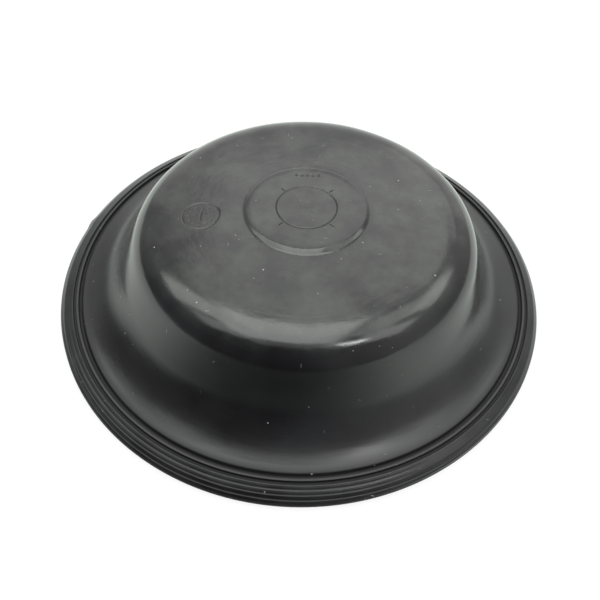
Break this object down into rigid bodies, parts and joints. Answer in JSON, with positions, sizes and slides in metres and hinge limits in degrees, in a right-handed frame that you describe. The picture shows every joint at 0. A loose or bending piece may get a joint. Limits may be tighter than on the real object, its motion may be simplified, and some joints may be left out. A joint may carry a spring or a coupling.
{
  "type": "brake chamber diaphragm",
  "caption": "Round moulded rubber diaphragm: a shallow flared cup with a wedge-shaped clamping bead, for an air brake chamber.",
  "frame": {"origin": "centre of the bead's flat seat, under the crown, so the part stands on its bead", "axes": "+Z along the cup's axis from its mouth to its crown; the part is round, so X and Y are free"},
  "size_m": [0.2064, 0.2064, 0.0426],
  "materials": {
    "rubber": "moulded, semi-gloss"
  },
  "bodies": {
    "root": {"diaphragm": "rubber"}
  },
  "joints": []
}
